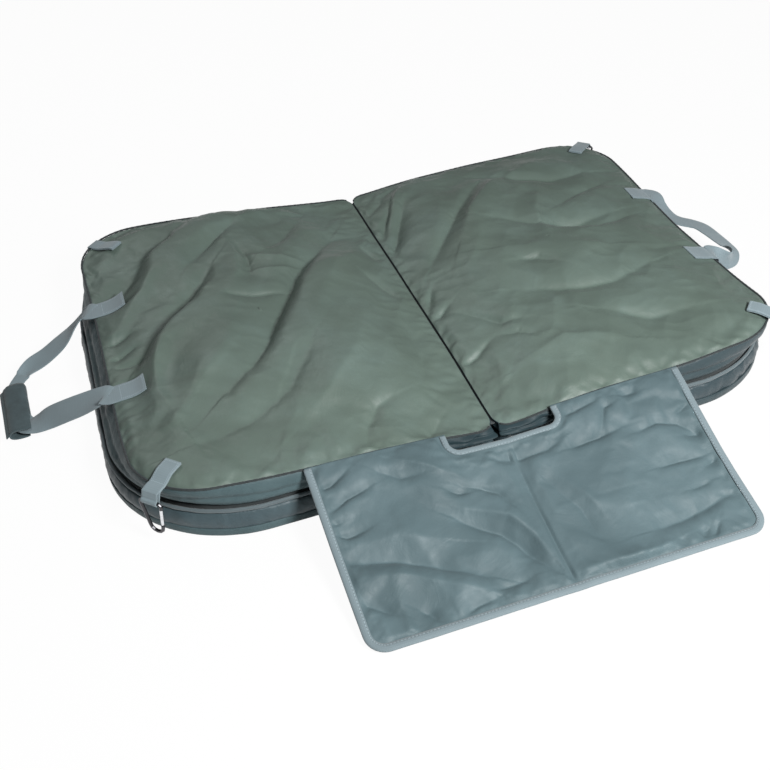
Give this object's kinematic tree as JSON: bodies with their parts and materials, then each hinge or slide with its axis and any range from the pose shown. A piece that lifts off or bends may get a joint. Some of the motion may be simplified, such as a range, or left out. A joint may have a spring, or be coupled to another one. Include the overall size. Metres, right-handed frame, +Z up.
{
  "type": "unhooking mat",
  "caption": "Folding padded fish unhooking mat lying open: two quilted halves on a soft fold, a kneeling flap in front, webbing carry handles, a snap hook and corner rings.",
  "frame": {"origin": "On the ground under the fold line, half way between the mat's front and back.", "axes": "+X along the open mat's length to the right end, +Y from the kneeling flap towards the back, +Z up from the ground."},
  "size_m": [1.2761, 0.9714, 0.1079],
  "materials": {
    "top_nylon": "olive-green coated woven nylon, slightly shiny",
    "gusset_nylon": "dark grey-green coated nylon",
    "flap_nylon": "blue-grey coated woven nylon, slightly shiny",
    "binding_tape": "woven tape",
    "seam_piping": "dark piped seam",
    "webbing": "woven grey-green webbing",
    "foam": "soft open foam",
    "lining": "plain lining cloth",
    "base_sheet": "coated base cloth",
    "grip_cloth": "padded cloth with hook-and-loop",
    "gunmetal": "dark gunmetal plating",
    "gate_steel": "bright steel",
    "ring_black": "black coated wire"
  },
  "bodies": {
    "left_half": {"left_top_cover": "top_nylon", "left_upper_foam": "foam", "left_divider": "lining", "left_top_piping": "seam_piping", "left_rim_binding": "binding_tape", "left_tray_cover": "gusset_nylon", "left_lower_foam": "foam", "left_base_sheet": "base_sheet", "left_base_band": "gusset_nylon", "left_handle_back_end": "webbing", "left_handle_front_end": "webbing", "front_left_tab": "webbing", "back_left_tab": "webbing", "fold_web": "seam_piping"},
    "right_half": {"right_top_cover": "top_nylon", "right_upper_foam": "foam", "right_divider": "lining", "right_top_piping": "seam_piping", "right_rim_binding": "binding_tape", "right_tray_cover": "gusset_nylon", "right_lower_foam": "foam", "right_base_sheet": "base_sheet", "right_base_band": "gusset_nylon", "right_handle_back_end": "webbing", "right_handle_front_end": "webbing", "front_right_tab": "webbing", "back_right_tab": "webbing"},
    "flap_left_half": {"flap_left_panel": "flap_nylon", "flap_left_binding": "binding_tape", "notch_left_binding": "binding_tape", "flap_crease": "flap_nylon"},
    "flap_right_half": {"flap_right_panel": "flap_nylon", "flap_right_binding": "binding_tape", "notch_right_binding": "binding_tape"},
    "left_handle": {"left_handle_strap": "webbing", "grip_wrap": "grip_cloth"},
    "grip_flap_body": {"grip_flap": "grip_cloth"},
    "right_handle": {"right_handle_strap": "webbing"},
    "carabiner": {"carabiner_body": "gunmetal"},
    "gate_body": {"carabiner_gate": "gate_steel"},
    "front_right_ring_body": {"front_right_ring": "ring_black"},
    "back_left_ring_body": {"back_left_ring": "ring_black"},
    "back_right_ring_body": {"back_right_ring": "ring_black"}
  },
  "joints": [
    {"name": "mat_fold", "type": "hinge", "parent": "left_half", "child": "right_half", "pos_m": [0, 0, 0.088], "axis": [0, -1, 0], "range_deg": [0, 165], "deforming": ["fold_web"]},
    {"name": "flap_swing", "type": "hinge", "parent": "left_half", "child": "flap_left_half", "pos_m": [0, -0.348, 0.08293], "axis": [1, 0, 0], "range_deg": [-185, 0]},
    {"name": "flap_fold", "type": "hinge", "parent": "flap_left_half", "child": "flap_right_half", "pos_m": [0, -0.348, 0.088], "axis": [0, -0.9579, -0.2873], "range_deg": [0, 165], "deforming": ["flap_crease"]},
    {"name": "left_handle_swing", "type": "hinge", "parent": "left_half", "child": "left_handle", "pos_m": [-0.5046, 0, 0.0845], "axis": [0, -1, 0], "range_deg": [-165, 0]},
    {"name": "grip_flap_open", "type": "hinge", "parent": "left_handle", "child": "grip_flap_body", "pos_m": [-0.6373, 0.03484, 0.0224], "axis": [0, -1, 0], "range_deg": [-150, 0]},
    {"name": "right_handle_swing", "type": "hinge", "parent": "right_half", "child": "right_handle", "pos_m": [0.5046, 0, 0.0845], "axis": [0, 1, 0], "range_deg": [-165, 0]},
    {"name": "carabiner_swing", "type": "hinge", "parent": "left_half", "child": "carabiner", "pos_m": [-0.48132, -0.32632, 0.079], "axis": [0.7071, -0.7071, 0], "range_deg": [-150, 0]},
    {"name": "carabiner_gate_open", "type": "hinge", "parent": "carabiner", "child": "gate_body", "pos_m": [-0.47335, -0.33428, 0.0405], "axis": [-0.7071, -0.7071, 0], "range_deg": [0, 25], "stiffness_Nm_per_rad": 0.02, "springref_deg": -8.59},
    {"name": "front_right_ring_swing", "type": "hinge", "parent": "right_half", "child": "front_right_ring_body", "pos_m": [0.48132, -0.32632, 0.079], "axis": [0.7071, 0.7071, 0], "range_deg": [-150, 0]},
    {"name": "back_left_ring_swing", "type": "hinge", "parent": "left_half", "child": "back_left_ring_body", "pos_m": [-0.48132, 0.32632, 0.079], "axis": [-0.7071, -0.7071, 0], "range_deg": [-150, 0]},
    {"name": "back_right_ring_swing", "type": "hinge", "parent": "right_half", "child": "back_right_ring_body", "pos_m": [0.48132, 0.32632, 0.079], "axis": [-0.7071, 0.7071, 0], "range_deg": [-150, 0]}
  ],
  "couplings": [
    {"joint": "flap_fold", "follows": "mat_fold", "ratio": 1}
  ]
}
